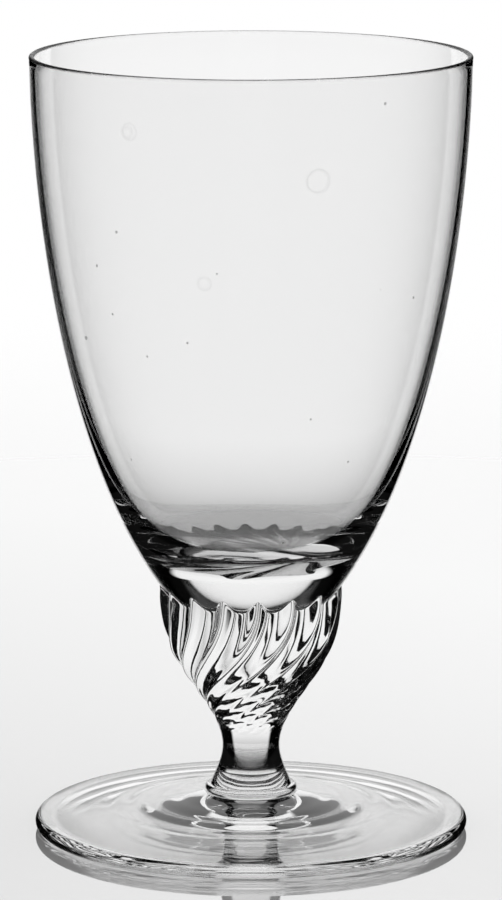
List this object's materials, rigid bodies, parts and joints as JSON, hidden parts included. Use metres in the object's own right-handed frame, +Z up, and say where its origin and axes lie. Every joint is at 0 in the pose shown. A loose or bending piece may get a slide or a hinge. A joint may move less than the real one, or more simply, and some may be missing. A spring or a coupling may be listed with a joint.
{
  "type": "juice glass",
  "caption": "Footed juice glass of clear glass: a tall tapering bowl with a thick bottom, a ribbed and twisted stem with a scalloped collar, and a round foot.",
  "frame": {"origin": "centre of the flat ring that the foot stands on, at table height", "axes": "+Z up along the axis of the glass, -Y towards the viewer of the picture, +X to the viewer's right"},
  "size_m": [0.065, 0.065, 0.116],
  "materials": {
    "bowl_glass": "fire polished, clear",
    "stem_glass": "fire polished, clear",
    "foot_glass": "fire polished, clear"
  },
  "bodies": {
    "root": {"bowl": "bowl_glass", "stem": "stem_glass", "foot": "foot_glass"}
  },
  "joints": []
}
